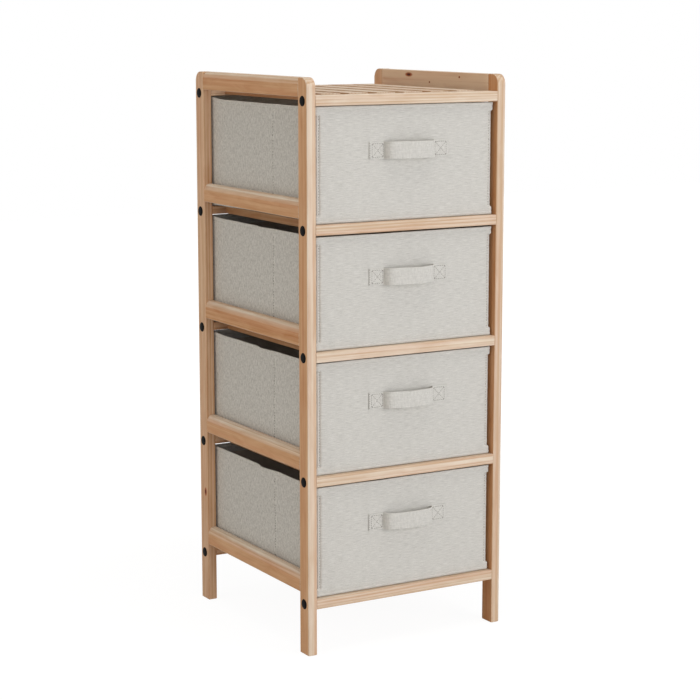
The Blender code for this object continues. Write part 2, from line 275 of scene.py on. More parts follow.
def make_piece(name, shells, material, body, stands_for=()):
    """Puts one or more skinned grids into one mesh, smooth, with its cloth places as UVs."""
    corners, faces, places, offset = [], [], [], 0
    for shell_corners, quads, fans, quad_places, fan_places in shells:
        corners.append(shell_corners)
        faces += (quads + offset).tolist() + (fans + offset).tolist()
        places += [quad_places.reshape(-1, 2), fan_places.reshape(-1, 2)]
        offset += len(shell_corners)
    mesh = bpy.data.meshes.new(name)
    mesh.from_pydata(np.concatenate(corners), [], faces)
    uv_layer = mesh.uv_layers.new(name="cloth")
    uv_layer.uv.foreach_set("vector", np.concatenate(places).ravel().astype(np.float32))
    mesh.polygons.foreach_set("use_smooth", [True] * len(mesh.polygons))
    mesh.materials.append(material)
    piece = bpy.data.objects.new(name, mesh)
    bpy.context.scene.collection.objects.link(piece)
    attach(piece, body)
    if stands_for:
        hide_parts(*stands_for)
    return piece


def mark(piece, name, values):
    """Writes a number or a vector at each corner of the mesh, for a material to read."""
    kind, field = ("FLOAT_VECTOR", "vector") if values.ndim == 2 else ("FLOAT", "value")
    layer = piece.data.attributes.new(name, kind, "POINT")
    layer.data.foreach_set(field, values.ravel().astype(np.float32))


print("skinning helpers ready")

# %% [markdown]
# ## Planed pine
#
# Pine is a soft wood with pale spring rings and darker, narrow summer rings. A board is cut out
# of a log, so the material is solid: rings round the log's middle line, the pith. Every corner
# of a board's mesh is marked with its place in the log that board was cut from, so each face
# shows its own cut through the same rings, and no two boards are alike. Fibres, bands and
# clouds are noises stretched along the grain, and the tone darkens or lightens a whole board.

# %% Draw the pine's grain
RING_WIDTH = 0.0042
FIBRE_WIDTH = 0.0014
FIBRE_LENGTH = 0.110
FIBRES = (1 / FIBRE_WIDTH, 1 / FIBRE_WIDTH, 1 / FIBRE_LENGTH)
BANDS = (170.0, 170.0, 2.5)
CLOUDS = (75.0, 75.0, 14.0)

pine, tree = new_material("planed_pine_matt_varnish")
place = add_node(tree, "TexCoord")
log = add_node(tree, "Attribute", attribute_name="log").outputs["Vector"]
tone = add_node(tree, "Attribute", attribute_name="tone").outputs["Fac"]
squeezed = add_node(tree, "Mapping", {"Vector": log, "Scale": (1, 1, 0.05)})
rings = add_node(tree, "TexWave", {
    "Vector": squeezed.outputs[0], "Scale": 0.1 * np.pi / RING_WIDTH, "Distortion": 5.0,
    "Detail": 2.0, "Detail Scale": 0.45, "Detail Roughness": 0.5,
}, wave_type="RINGS", rings_direction="Z", wave_profile="SAW")
facing = add_node(tree, "SeparateXYZ", {0: place.outputs["Normal"]})
sideways = calculate(tree, "ABSOLUTE", facing.outputs["X"])
forward = map_range(tree, sideways, 1.0, 0.80)
ring_strength = map_range(tree, forward, 0.0, 1.0, 0.22, 0.85)
summer = map_range(tree, rings.outputs["Fac"], 0.10, 1.0, 0.0, ring_strength, "SMOOTHSTEP")
fibres = noise(tree, log, FIBRES, 3.0, 0.6)
bands = noise(tree, log, BANDS, 2.0, 0.55)
clouds = noise(tree, log, CLOUDS, 3.0, 0.6, distortion=0.6)
dark = calculate(tree, "MULTIPLY", summer, fibres)
for pattern, weight in ((fibres, 0.35), (bands, 1.0), (clouds, 0.8)):
    dark = calculate(tree, "MULTIPLY_ADD", pattern, weight, dark)
dark = map_range(tree, calculate(tree, "ADD", dark, tone), 0.78, 1.66)
print("grain drawn for", pine.name)

# %% [markdown]
# The grain then picks a colour between a light and a dark one, twice: from a pale pair,
# painted light for faces that look forward, and from a deeper, more orange pair, painted shade
# for faces that look left or right. Each piece says how much of the pale one its faces get.
# Some places blush, which real pine does, and clear matt varnish leaves a soft sheen. Each knot
# is a dark core in a red-brown halo, at a place and with a size in metres.

# %% Colour the pine
# PALE is painted light and DEEP painted shade, each a light and a dark grain colour. DEEP also
# colours the heartwood of a two-toned post.
PALE = ("#e7ddcd", "#c8ab8e")
DEEP = ("#dbb48d", "#b67d4e")
BLUSH = "#f9e6e2"
BLUSHES = (130.0, 130.0, 3.5)
KNOT_RINGS = ((1.7, 0.9, "#a65c36"), (0.95, 0.45, "#4a1d0c"))
KNOTS = (
    ((0.1593, 0.0790, 0.8626), (0.004, 0.0082, 0.0026)),
    ((0.1593, 0.0161, 0.8521), (0.004, 0.0016, 0.0012)),
    ((0.1593, -0.0709, 0.8624), (0.004, 0.0018, 0.0013)),
    ((-0.1745, 0.1703, 0.1830), (0.004, 0.0030, 0.0052)),
)

# Forward faces take the y share of lit_paleness and side faces its x share: painted light over
# painted shade. Past the heartwood line the share shrinks.
pale, deep = (blend(tree, dark, *colours) for colours in (PALE, DEEP))
lit_paleness = add_node(tree, "Attribute", attribute_name="lit_paleness")
by_face = add_node(tree, "SeparateXYZ", {0: lit_paleness.outputs["Vector"]})
share = add_node(tree, "Mix", {0: forward, 2: by_face.outputs["X"], 3: by_face.outputs["Y"]})
heartwood = map_range(tree, by_face.outputs["Z"], 0.16, 0.26, 1.0, 0.66)
share = calculate(tree, "MULTIPLY", share.outputs[0], heartwood)
colour = blend(tree, share, deep, pale)
blushes = noise(tree, log, BLUSHES, 1.5, shift=(3.7, 1.9, 0.4))
colour = blend(tree, map_range(tree, blushes, 0.46, 0.66, 0.0, 0.45), colour, BLUSH, "MULTIPLY")
for middle, size in KNOTS:
    knot_place = add_node(tree, "Mapping", {
        "Vector": place.outputs["Object"],
        "Location": [-part / reach for part, reach in zip(middle, size)],
        "Scale": [1 / reach for reach in size]})
    far = add_node(tree, "VectorMath", {0: knot_place.outputs[0]}, operation="LENGTH")
    for edge, core, knot_colour in KNOT_RINGS:
        inside = map_range(tree, far.outputs["Value"], edge, core, kind="SMOOTHSTEP")
        colour = blend(tree, inside, colour, knot_colour)
add_surface(
    tree, colour, {"Roughness": 0.6, "IOR": 1.5, "Specular IOR Level": 0.15}, (0.2, 0.0002, dark))
print("pine coloured, with", len(KNOTS), "placed knots")

# %% [markdown]
# ## Boards
#
# A board is its cross-section carried along its grain. The section is a rectangle whose corners
# are quarter ellipses, so one function makes both the lightly eased edges of a slat and the
# wide rounding on the outer top edge of a side rail, which starts with a crisp line. Near its
# ends the section shrinks along a quarter circle, and a post's outer top corner is cut back
# along a larger one. Extra rows and columns close beside each bend keep the flat faces flat.

# %% Cut a section and carry it
EASE = 0.0011
BESIDE = 0.0003
POST_ROUND = 0.0155
RAIL_ROUND = (0.008, 0.010, radians(38))
PLAIN = (EASE, EASE, 0.0)
CRISP = (0.0004, 0.0004, 0.0)


def corner_arc(reach_a, reach_b, start):
    """Gives a quarter ellipse (a, b), with a point beside it on each flat. Its first part, up
    to the start angle, can be left out, which leaves a crisp line there."""
    turn = np.unique(np.r_[start, start + 0.02, np.linspace(start, np.pi / 2, 6)])
    a = reach_a * np.cos(turn) / np.cos(start)
    b = reach_b * (np.sin(turn) - np.sin(start)) / (1 - np.sin(start))
    return np.concatenate([
        [(reach_a, -BESIDE)], np.stack([a, b], axis=1), [(-BESIDE, reach_b)]])


def cut_section(half_a, half_b, corners):
    """Gives a rectangle's outline with four rounded corners, in the order ++, -+, --, +-."""
    signs = ((1, 1), (-1, 1), (-1, -1), (1, -1))
    parts = []
    for (sign_a, sign_b), (reach_a, reach_b, start) in zip(signs, corners):
        hub = np.array([half_a - reach_a, half_b - reach_b])
        part = (hub + corner_arc(reach_a, reach_b, start)) * (sign_a, sign_b)
        parts.append(part if sign_a * sign_b > 0 else part[::-1])
    return np.concatenate(parts)


def stand_back(distance, radius):
    """Gives how far a rounded end stands back at a distance from the end: circle height."""
    inside = np.clip(radius - distance, 0, radius)
    return radius - np.sqrt(radius ** 2 - inside ** 2)


def cut_board(low, high, grain, corners=(PLAIN,) * 4, end_ease=0.0003, round_side=0):
    """Carries a section along the grain from low to high. round_side is -1 or 1 for a post
    whose front or back corner is cut back along a circle at the top."""
    low, high = np.array(low, float), np.array(high, float)
    across = [axis for axis in range(3) if axis != grain]
    half = (high - low)[across] / 2
    length = (high - low)[grain]
    bend = np.linspace(0, np.pi / 2, 5)
    near = np.r_[end_ease * (1 - np.cos(bend)), end_ease + BESIDE]
    stations = [near, [length / 2], length - near]
    if round_side:
        wide = np.linspace(0, np.pi / 2, 14)
        stations.append(length - POST_ROUND * (1 - np.sin(wide)))
    along = np.unique(np.concatenate(stations).round(7))
    inset = stand_back(along, end_ease) + stand_back(length - along, end_ease)
    cut = stand_back(length - along, POST_ROUND) if round_side else 0 * along
    along = np.r_[along[0], along, along[-1]]
    inset = np.r_[inset[0] + BESIDE, inset, inset[-1] + BESIDE]
    cut = np.r_[cut[0], cut, cut[-1]]
    section = cut_section(half[0], half[1], corners)
    shrink = 1 - inset[:, None, None] / half
    flat = section[None] * shrink
    outer = np.sign(section[:, 1]) == round_side
    flat[..., 1] -= np.where(outer, round_side, 0)[None] * cut[:, None]
    points = np.zeros((len(along), len(section), 3))
    points[..., across] = flat + (low + high)[across] / 2
    points[..., grain] = (low[grain] + along)[:, None]
    return skin_grid(points, np.zeros((len(along), len(section) + 1, 2)))


def log_place(corners, grain, seed):
    """Gives each corner's place in its log: the grain runs along z, and the pith lies at a
    seeded distance and direction from the board."""
    chance = np.random.default_rng(seed)
    across = [axis for axis in range(3) if axis != grain]
    distance, turn = chance.uniform(0.035, 0.085), chance.uniform(0, 2 * np.pi)
    middle = (corners.max(axis=0) + corners.min(axis=0)) / 2
    place = (corners - middle)[:, across + [grain]]
    return place + np.array([
        distance * np.cos(turn), distance * np.sin(turn), chance.uniform(0, 9)])


def make_wood(name, boards, grains, seed, lit_paleness, node_name, tone=0.0, two_toned=False):
    """Makes one wooden piece of one or more boards and marks it for the pine. Its lit_paleness,
    the share of painted light (the pale colour) over painted shade (the deep one), is given for
    faces that look left or right, and for all others. A two-toned one has darker heartwood on
    the right, past a straight line up its front."""
    piece = make_piece(name, boards, pine, "frame", [node_name])
    chance = np.random.default_rng(seed)
    places, tones = [], []
    for number, (board, grain) in enumerate(zip(boards, grains)):
        places.append(log_place(board[0], grain, seed + 17 * number))
        tones.append(np.full(len(board[0]), tone + chance.uniform(-0.09, 0.09)))
    mark(piece, "log", np.concatenate(places))
    mark(piece, "tone", np.concatenate(tones))
    lit_paleness = np.tile([*lit_paleness, 0.0], (len(piece.data.vertices), 1))
    if two_toned:
        across = np.array([vertex.co.x for vertex in piece.data.vertices])
        lit_paleness[:, 2] = np.interp(across, (across.min(), across.max()), (-1, 1))
    mark(piece, "lit_paleness", lit_paleness)
    return piece


print("a plain section has", len(cut_section(0.0075, 0.0135, (PLAIN,) * 4)), "points")

# %% Cut the posts
X, Y, Z = 0, 1, 2
POST_EDGE = (0.0015, 0.0015, 0.0)
POST_OUTER_EDGE = (0.0026, 0.0026, 0.0)
OUTER_CORNERS = {(1, 1): 0, (-1, 1): 1, (-1, -1): 2, (1, -1): 3}
# For each post: lit_paleness for side faces and for the others, tone, and two-toned or not. The
# back posts, in shade inside the frame, get mostly the deep colour: painted shade. The right front
# post's darker tone is partly its own wood and partly painted shade for its inner face beside the
# drawers.
POST_LOOKS = {
    ("left", "front"): ((0.0, 1.0), 0.0, True), ("right", "front"): ((0.0, 1.0), 0.3, False),
    ("left", "back"): ((0.25, 0.25), 0.0, False), ("right", "back"): ((0.2, 0.6), 0.0, False),
}
post_inner = {}
for side, side_sign in (("left", -1), ("right", 1)):
    for end, end_sign in (("front", -1), ("back", 1)):
        node_name = f"post_{side}_{end}"
        low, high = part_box(node_name)
        post_inner[end] = high.y if end == "front" else low.y
        corners = [POST_EDGE] * 4
        corners[OUTER_CORNERS[side_sign, end_sign]] = POST_OUTER_EDGE
        board = cut_board(low, high, Z, corners, EASE, end_sign)
        lit_paleness, tone, two_toned = POST_LOOKS[side, end]
        make_wood(f"pine_{node_name}", [board], [Z], 100 + 10 * side_sign + end_sign, lit_paleness,
                  node_name, tone, two_toned)
print("posts stand; rails reach from", post_inner)

# %% Cut the side rails
# The right rails show their inner faces. Their side faces get some of the pale colour, which is
# painted light, and their lighter tone is partly the boards' own and partly painted light.
RAIL_LOOKS = {"left": ((0.0, 1.0), 0.06), "right": ((0.35, 1.0), -0.3)}
for side, side_sign in (("left", -1), ("right", 1)):
    corners = [PLAIN] * 4
    corners[0 if side_sign > 0 else 1] = RAIL_ROUND
    lit_paleness, tone = RAIL_LOOKS[side]
    for level in range(1, 6):
        node_name = f"side_rail_{side}_{level}"
        low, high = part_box(node_name)
        low.y, high.y = post_inner["front"], post_inner["back"]
        make_wood(f"pine_{node_name}", [cut_board(low, high, Y, corners)], [Y],
                  200 + 20 * side_sign + level, lit_paleness, node_name, tone)
print("side rails cut")

# %% Cut the front and back rails
POST_INNER_X = 0.1595
for level in range(1, 6):
    node_name = f"front_rail_{level}"
    low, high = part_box(node_name)
    low.x, high.x = -POST_INNER_X, POST_INNER_X
    make_wood(f"pine_{node_name}", [cut_board(low, high, X)], [X], 300 + level, (1.0, 1.0),
              node_name, tone=0.10)
low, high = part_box("back_rail_1")
low.x, high.x = -POST_INNER_X, POST_INNER_X
make_wood("pine_back_rail_1", [cut_board(low, high, X)], [X], 320, (0.4, 0.4), "back_rail_1")
back_rail_height = high.z - low.z
print("front rails cut; back rail height in m:", round(back_rail_height, 4))

# %% Cut the slats
slat_sides = []
for number in range(1, 7):
    node_name = f"top_slat_{number}"
    low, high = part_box(node_name)
    slat_sides.append((low.x, high.x))
    low.y, high.y = post_inner["front"], post_inner["back"]
    make_wood(f"pine_{node_name}", [cut_board(low, high, Y, (CRISP,) * 4)], [Y], 400 + number,
              (0.0, 1.0), node_name, tone=0.05)
SLAT_DROP = 0.0006
SLAT_THICKNESS = 0.012
for level in range(2, 6):
    node_name = f"slat_grid_{level}"
    low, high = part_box(node_name)
    top = high.z - SLAT_DROP
    boards = [
        cut_board((left, post_inner["front"], top - SLAT_THICKNESS),
                  (right, post_inner["back"], top), Y)
        for left, right in slat_sides]
    boards.append(cut_board((-POST_INNER_X, post_inner["back"], high.z - back_rail_height),
                            (POST_INNER_X, high.y, high.z), X))
    # The lower slat grids, seen only in shade, get little of the pale colour and a darker tone:
    # painted shade.
    make_wood(f"pine_{node_name}", boards, [Y] * 6 + [X], 500 + 10 * level, (0.0, 0.3),
              node_name, tone=0.2)
print("slats cut")

# %% [markdown]
# ## Bolt caps
#
# The frame is held by bolts through the posts, under black domed plastic caps. A cap is a turned
# shape: its half outline, a low dome with a rounded rim, goes round the bolt's own line.

# %% Turn the bolts
CAP_RADIUS = 0.00775
CAP_RISE = 0.0016
CAP_RIM = 0.0004
RIM_HEIGHT = CAP_RIM * 1.2
SHANK_RADIUS = 0.0025

nylon, tree = new_material("black_moulded_nylon")
place = add_node(tree, "TexCoord")
grit = noise(tree, place.outputs["Object"], (1800.0,) * 3, 3.0)
add_surface(
    tree, blend(tree, grit, "#050505", "#0e0d0c"),
    {"Roughness": 0.55, "IOR": 1.5, "Specular IOR Level": 0.05}, (0.2, 0.0001, grit))


def turn_bolt(low, high, side_sign, steps=40):
    """Turns the half outline (radius, out) round the bolt's line: dome, rim, back, shank."""
    outward = np.linspace(0.06, np.pi / 2, 9)
    dome = np.stack([
        (CAP_RADIUS - CAP_RIM) * np.sin(outward),
        RIM_HEIGHT + (CAP_RISE - RIM_HEIGHT) * np.cos(outward)], axis=1)
    rolled = np.linspace(np.pi / 2, 0, 5)[1:]
    rim = np.stack([
        CAP_RADIUS - CAP_RIM + CAP_RIM * np.cos(rolled), RIM_HEIGHT * np.sin(rolled)], axis=1)
    end = CAP_RISE - (high.x - low.x)
    shank = np.array([(SHANK_RADIUS, 0.0), (SHANK_RADIUS, end), (0.0002, end)])
    half = np.concatenate([dome, rim, shank])
    around = np.linspace(0, 2 * np.pi, steps, endpoint=False)
    face = (high.x if side_sign > 0 else low.x) - side_sign * CAP_RISE
    points = np.stack(np.broadcast_arrays(
        face + side_sign * half[:, 1, None],
        (low.y + high.y) / 2 + half[:, 0, None] * np.cos(around)[None],
        (low.z + high.z) / 2 + half[:, 0, None] * np.sin(around)[None]), axis=2)
    return skin_grid(points, np.zeros((len(half), steps + 1, 2)))


bolt_names = [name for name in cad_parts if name.startswith("bolt")]
for node_name in bolt_names:
    side_sign = -1 if "left" in node_name else 1
    bolt = turn_bolt(*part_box(node_name), side_sign)
    make_piece(f"cap_{node_name}", [bolt], nylon, "frame", [node_name])
print("bolts:", len(bolt_names))

# %% [markdown]
# ## Linen-look polyester
#
# The covers are a plain weave of uneven yarn, like linen: thick places in the weft show as
# short level dashes, and those in the warp as fainter upright ones. The weave is really about
# 0.5 mm; it and its flecks are drawn coarser, because finer would not show. The pattern follows
# the cloth's own measures, so it turns the corner with the cloth. Cloth scatters light and
# hardly shines.

# %% Make the cloth
YARN = 0.0010
CROSSING = 0.08
# Each noise has its bumps per metre across, up and out, its detail and its roughness.
LEVEL_SLUBS = ((1 / 0.015, 1 / 0.0009, 1), 2.5, 0.85)
UPRIGHT_SLUBS = ((1 / 0.0013, 1 / 0.010, 1), 2.5, 0.65)
FLECKS = ((1 / 0.0036, 1 / 0.0036, 1), 2.0, 0.7)
CLOTH_COLOURS = ("#bdbcb7", "#dad9d4")


def make_cloth(name, level_slubs, upright_slubs, flecked):
    """Makes woven cloth on its UV measures: a product of two sine waves raises the crossings,
    two stretched noises thicken the yarns, level and upright, and a round one flecks them.
    The same height sets both the colour and the bump. Each strength is a pair, for the tight
    cloth of the front and back and for the looser cloth of the sides, and the attribute
    "slack_and_shade" says which of the two a place is. The sides' stronger streaks and flecks
    are partly looser cloth and partly painted shade of its creases."""
    material, tree = new_material(name)
    cloth = add_node(tree, "UVMap", uv_map="cloth").outputs[0]
    sides = add_node(tree, "SeparateXYZ", {0: cloth})
    waves = [
        calculate(tree, "SINE", calculate(tree, "MULTIPLY", sides.outputs[axis], 2 * np.pi / YARN))
        for axis in "XY"]
    crossing = calculate(tree, "MULTIPLY", *waves)
    height = calculate(tree, "MULTIPLY", crossing, CROSSING)
    slack_and_shade = add_node(tree, "Attribute", attribute_name="slack_and_shade").outputs["Fac"]
    patterns = [noise(tree, cloth, *measures) for measures in (LEVEL_SLUBS, UPRIGHT_SLUBS, FLECKS)]
    for pattern, strengths in zip(patterns, (level_slubs, upright_slubs, flecked)):
        strength = map_range(tree, slack_and_shade, 0.0, 1.0, *strengths)
        centred = calculate(tree, "SUBTRACT", pattern, 0.5)
        height = calculate(tree, "MULTIPLY_ADD", centred, strength, height)
    tone = map_range(tree, height, -0.22, 0.22)
    add_surface(tree, blend(tree, tone, *CLOTH_COLOURS), {
        "Roughness": 0.92, "IOR": 1.45, "Specular IOR Level": 0.2, "Sheen Weight": 0.08,
        "Sheen Roughness": 0.5}, (0.8, 0.0006, height))
    return material


# The cover's sides get strong upright streaks and flecks in colour as well as in bump: partly
# looser cloth and partly painted shade of its creases.
cover_cloth = make_cloth("woven_polyester_linen_look", (1.3, 0.4), (0.1, 1.9), (0.12, 1.4))
strap_cloth = make_cloth("woven_polyester_strap", (0.8, 0.8), (0.6, 0.6), (0.4, 0.4))
print("cloth:", cover_cloth.name, strap_cloth.name)

# %% Make the lining's felt
DOT_PITCH = 0.0022
lining_felt, tree = new_material("brown_nonwoven_polypropylene")
cloth = add_node(tree, "UVMap", uv_map="cloth").outputs[0]
dots = add_node(tree, "TexVoronoi", {"Vector": cloth, "Scale": 1 / DOT_PITCH, "Randomness": 0.15})
dimple = map_range(tree, dots.outputs["Distance"], 0.15, 0.45)
fuzz = noise(tree, cloth, (900.0, 900.0, 1), 2.0)
shade = calculate(tree, "MULTIPLY", dimple, fuzz)
add_surface(
    tree, blend(tree, shade, "#bbb2a5", "#d3cabd"),
    {"Roughness": 0.85, "IOR": 1.45, "Sheen Weight": 0.1}, (0.6, 0.0004, dimple))
print("lining:", lining_felt.name)

# %% [markdown]
# ## The sewn bins
#
# Each bin is a cloth cover sewn round stiff boards, with a brown nonwoven lining that looks
# nearly black in the shade. It is made as two sealed shells, one inside the other. A shell is a
# rounded rectangle carried along a profile: from the middle of the base out to its edge, up the
# outside, over the rim, down the inside, and back to the middle. What sewing does is then added
# as a push outward or inward: seams pull in beside each corner, hems are thicker, the corners
# stay loose above and below the seams, and the rim sags where a board has gone soft.

# %% Measures of a bin
WALL = 0.003
COVER = 0.0018
LINING_GAP = 0.00012
CORNER_RADIUS = 0.0035
BASE_RADIUS = 0.003
SEAM_INSET = 0.0065
SEAM_FAR = SEAM_INSET - CORNER_RADIUS * (1 - np.pi / 4)
SEAM_STOP = 0.013
HEM = 0.0045
SIDE_SEAM_Y = -0.0470
SIDE_STITCHES_Y = SIDE_SEAM_Y + 0.0030
OVERLAP_Y = 0.0125
HANDLE_X = 0.0049
HANDLE_DROP = 0.066
FOLD = 0.016
print("seam lies this far round from a corner's middle, in m:", round(SEAM_FAR, 5))

# %% Curves and spacing
STEP = 0.0038
CLOSE = np.linspace(-0.0026, 0.0026, 9)
CORNER_STEPS = 9


def soft_noise(values, seed, waves=5, shortest=0.02, longest=0.12):
    """Gives smooth noise along a line: a sum of sines with seeded lengths and phases."""
    chance = np.random.default_rng(seed)
    lengths = chance.uniform(shortest, longest, waves)
    phases = chance.uniform(0, 2 * np.pi, waves)
    angles = 2 * np.pi * values[..., None] / lengths + phases
    return np.sin(angles).mean(axis=-1) * 1.6


def bump_at(values, middle, width):
    """Gives 1 at the middle, falling to 0 on both sides like a bell of that width."""
    return np.exp(-((values - middle) / width) ** 2)


def ramp(values, start, end):
    """Gives 0 up to start and 1 from end on, rising smoothly between: 3 t^2 - 2 t^3."""
    share = np.clip((values - start) / (end - start), 0, 1)
    return share * share * (3 - 2 * share)


def lengths_along(points):
    """Gives how far along a line of points each one lies."""
    steps = np.linalg.norm(np.diff(points, axis=0), axis=1)
    return np.concatenate([[0], np.cumsum(steps)])


def spaced(start, end, lines):
    """Spaces numbers from start to end: even ones, and close ones beside each sewn line."""
    even = np.linspace(start, end, int(round((end - start) / STEP)) + 1)[1:-1]
    even = even[np.abs(np.subtract.outer(even, lines)).min(axis=1) > CLOSE[-1] + 0.0008]
    close = np.add.outer(np.array(lines), CLOSE).ravel()
    close = close[(close > start + 0.0004) & (close < end - 0.0004)]
    return np.unique(np.concatenate([[start], even, close, [end]]).round(7))


print("a line of 0.1 m with one sewn line gets", len(spaced(0.0, 0.1, [0.05])), "points")


# %% Draw a bin's outline and profile
def outline(half_x, half_y, radius, inset):
    """Gives a rounded rectangle's points, outward directions, arc lengths and distances from
    the nearest corner's middle, going round against the clock as seen from above."""
    corner = radius - inset
    reach_x, reach_y = half_x - radius, half_y - radius
    seam_x, seam_y = half_x - SEAM_INSET, half_y - SEAM_INSET
    turn = np.linspace(0, np.pi / 2, CORNER_STEPS + 2)[1:-1]
    flats = (
        (reach_x, half_y, (0, -1), (1, 0), [-seam_x, seam_x]),
        (reach_y, half_x, (1, 0), (0, 1), [-seam_y, SIDE_SEAM_Y, seam_y]),
        (reach_x, half_y, (0, 1), (-1, 0), [-seam_x, seam_x]),
        (reach_y, half_x, (-1, 0), (0, -1), [-seam_y, -SIDE_SEAM_Y, seam_y]))
    spots, ways, far = [], [], []
    for reach, out, way, line, lines in flats:
        way, line = np.array(way, float), np.array(line, float)
        steps = spaced(-reach, reach, lines)
        spots.append((out - inset) * way + steps[:, None] * line)
        ways.append(np.repeat(way[None], len(steps), axis=0))
        far.append(reach - np.abs(steps) + radius * np.pi / 4)
        hub = (out - radius) * way + reach * line
        bend = np.cos(turn)[:, None] * way + np.sin(turn)[:, None] * line
        spots.append(hub + corner * bend)
        ways.append(bend)
        far.append(radius * np.abs(turn - np.pi / 4))
    spots = np.concatenate(spots)
    arc = lengths_along(np.concatenate([spots, spots[:1]]))
    return spots, np.concatenate(ways), arc, np.concatenate(far)


def profile(height, thickness, inset, rim_drop):
    """Gives a shell's wall as (inset, height, share of base reached), going from the base's
    middle up the outside, over the rounded rim, down the inside and back to the middle."""
    base = np.linspace(0.12, 1.0, 8)[:-1]
    edge = np.linspace(0, np.pi / 2, 6)
    over = np.linspace(0, np.pi, 7)[1:-1]
    radius = BASE_RADIUS - inset
    start = inset + radius
    top = height - rim_drop - thickness / 2
    floor_top = inset + thickness
    lines = [HEM, SEAM_STOP, height - SEAM_STOP, height - HEM]
    up, down = spaced(start, top, lines)[1:], spaced(floor_top, top, lines)[::-1]
    rows = [
        (inset + radius, inset, base),
        (inset + radius * (1 - np.sin(edge)), inset + radius * (1 - np.cos(edge)), 1),
        (inset, up, 1),
        (inset + thickness / 2 * (1 - np.cos(over)), top + thickness / 2 * np.sin(over), 1),
        (inset + thickness, down, 1),
        (inset + thickness, floor_top, base[::-1])]
    return np.concatenate([np.stack(np.broadcast_arrays(*part), axis=1) for part in rows])


print("a cover's profile has", len(profile(0.1, COVER, 0.0, 0.0)), "rows")

# %% [markdown]
# The push is worked out for the whole grid at once from three things: how far a point is from
# the nearest upright edge, how high it is, and which side it is on.

# %% Work out the sewing's push
SEAM_DEPTH = 0.0014
SEAM_WIDTH = 0.0014
HEM_RISE = 0.0003
HEM_GROOVE = 0.0004
HEM_SOFTNESS = 0.0008
CORNER_WIDTH = 0.005
CORNER_SLACK = 0.0006
FRONT_PULL = 0.0030
BACK_PULL = 0.0018
PUCKER = 0.00022
PUCKER_PITCH = 0.0075
PUCKER_REACH = 0.006
WAVE = 0.00030
CREASE = 0.00010
RIDGE = 0.0009


def sewing_push(spots, far, rise, height, half, seed):
    """Gives how far cloth stands out at each place, in metres. Seams are narrow bell curves
    inward, hems are steps outward, corners are loose above and below the seam, puckers are
    ripples that die away from the seam, and slow sine noise gives the panels some life."""
    x, y, far = spots[None, :, 0], spots[None, :, 1], far[None]
    on_front = np.abs(np.abs(y) - half[1]) < 0.0005
    on_side = np.abs(np.abs(x) - half[0]) < 0.0005
    rise = rise[:, None]
    from_top = height - rise
    from_hem = np.minimum(rise, from_top)
    stitched = ramp(from_hem, SEAM_STOP - 0.0022, SEAM_STOP + 0.0008)
    push = -SEAM_DEPTH * bump_at(far, SEAM_FAR, SEAM_WIDTH) * stitched
    push = push + HEM_RISE * ramp(HEM - from_hem, 0, HEM_SOFTNESS)
    push = push - HEM_GROOVE * bump_at(from_hem, HEM + 0.001, HEM_SOFTNESS)
    pull = np.where(y < 0, FRONT_PULL, BACK_PULL)
    push = push + bump_at(far, 0.0, CORNER_WIDTH) * (CORNER_SLACK - pull * stitched)
    ripple = np.sin(2 * np.pi * rise / PUCKER_PITCH + 3 * soft_noise(rise, seed))
    push = push + PUCKER * ripple * bump_at(far, SEAM_FAR, PUCKER_REACH) * stitched
    around = x + 1.7 * y
    calm = np.clip(far / 0.02, 0, 1)
    held = np.exp(-((x - HANDLE_X) / 0.078) ** 8 - ((from_top - HANDLE_DROP) / 0.018) ** 4)
    calm = calm * (1 - held * (y < 0) * on_front)
    slow = soft_noise(around + 0.25 * rise, seed + 1, 6, 0.05, 0.16)
    slow = slow + soft_noise(rise + 0.35 * around, seed + 2, 5, 0.04, 0.12)
    push = push + WAVE * slow * calm
    creases = soft_noise(around + 0.1 * rise, seed + 3, 8, 0.012, 0.045)
    push = push + CREASE * (1 + on_side) * creases * calm
    lumps = 1 + soft_noise(rise, seed + 4, 6, 0.008, 0.025)
    ridge = bump_at(y, SIDE_SEAM_Y, 0.0014) - 0.7 * bump_at(y, SIDE_STITCHES_Y, 0.0009)
    return push + RIDGE * ridge * on_side * lumps


print("a seam pulls in by this many metres:", SEAM_DEPTH)

# %% [markdown]
# The rim sags and the base lifts a little along the sides. A shell adds both to the push.

# %% Sag, lift and sew a shell
RIM_REACH = 0.05
SIDE_LIFT = 0.0042
LIFT_HEIGHT = 0.03
DIP_REACHES = ((1, 0.60, 0.03), (-1, 0.40, 0.02))


def rim_sag(spots, half, slump, dips):
    """Gives how far the rim has sunk along the bin. Between the two sewn lines of each side it
    slumps: it drops steeply at one and recovers slowly to the other. The back rim and the front
    rim each have a dip, a wide bell of the depth given, less than 0 for a rise."""
    x, y = spots[:, 0], spots[:, 1]
    sag = 0.00015 * (1 + soft_noise(x + 1.3 * y, 7, 6, 0.05, 0.2))
    across = (OVERLAP_Y - y) / (OVERLAP_Y - SIDE_SEAM_Y)
    shape = ramp(across, 0, 0.22) * np.clip(1 - across, 0, 1) ** 0.7
    sag = sag + slump * shape * np.where(x < 0, 1.0, 0.6) * (np.abs(x) > half[0] - 0.004)
    for depth, (end_sign, reach_x, reach_y) in zip(dips, DIP_REACHES):
        far_y = y - end_sign * half[1]
        sag = sag + depth * np.exp(-(x / reach_x) ** 2 - (far_y / reach_y) ** 2)
    return sag


def side_lift(level, half):
    """Gives how far the base lifts at each level place: most along the middle of the sides,
    nothing near the ends or the middle of the bin, and less toward the back."""
    x, y = np.abs(level[..., 0]), level[..., 1]
    share = ramp(x, half[0] - 0.016, half[0] - 0.004)
    share = share * (1 - ramp(np.abs(y), half[1] - 0.030, half[1] - 0.008))
    return SIDE_LIFT * (share * (1 - 0.5 * ramp(y, 0.02, 0.12)))


